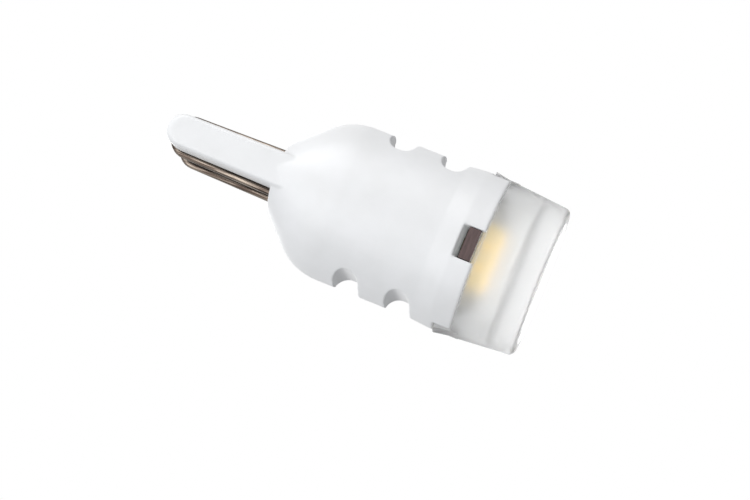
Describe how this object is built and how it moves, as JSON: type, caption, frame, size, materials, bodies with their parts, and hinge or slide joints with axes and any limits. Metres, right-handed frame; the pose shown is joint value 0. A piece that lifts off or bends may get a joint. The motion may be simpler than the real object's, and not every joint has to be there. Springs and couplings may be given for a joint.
{
  "type": "wedge base led bulb",
  "caption": "Small wedge base lamp with a white moulded housing, cross grooves, looped contact wires and a frosted diffuser cap over light emitters on a round board.",
  "frame": {"origin": "middle of the diffuser cap's flat end, on which the bulb stands", "axes": "+Z along the bulb to the tip of the wedge, X across the wedge's broad faces, Y through its thickness"},
  "size_m": [0.0108, 0.011, 0.0256],
  "materials": {
    "housing_plastic": "satin",
    "diffuser_plastic": "frosted",
    "led_board_laminate": "cut edge brown, faces white",
    "driver_laminate": "green mask",
    "emitter_white": "moulded",
    "emitter_phosphor": "clear silicone over yellow phosphor",
    "tinned_wire": "bright tinned",
    "solder": "satin",
    "package_black": "moulded",
    "package_leads": "tinned",
    "capacitor_ceramic": "satin",
    "resistor_ceramic": "satin"
  },
  "bodies": {
    "root": {"board_solder_left_back": "solder", "board_solder_left_front": "solder", "board_solder_right_back": "solder", "board_solder_right_front": "solder", "capacitor_body": "capacitor_ceramic", "capacitor_ends": "solder", "diffuser_cap": "diffuser_plastic", "driver_board": "driver_laminate", "emitter_1_body": "emitter_white", "emitter_1_phosphor": "emitter_phosphor", "emitter_2_body": "emitter_white", "emitter_2_phosphor": "emitter_phosphor", "emitter_3_body": "emitter_white", "emitter_3_phosphor": "emitter_phosphor", "housing": "housing_plastic", "lead_wire_left": "tinned_wire", "lead_wire_right": "tinned_wire", "led_board": "led_board_laminate", "rectifier_body": "package_black", "rectifier_leads": "package_leads", "regulator_body": "package_black", "regulator_leads": "package_leads", "resistor_1_body": "resistor_ceramic", "resistor_1_ends": "solder", "resistor_2_body": "resistor_ceramic", "resistor_2_ends": "solder", "surge_diode_body": "package_black", "surge_diode_leads": "package_leads", "wire_solder_left_back": "solder", "wire_solder_left_front": "solder", "wire_solder_right_back": "solder", "wire_solder_right_front": "solder"}
  },
  "joints": []
}
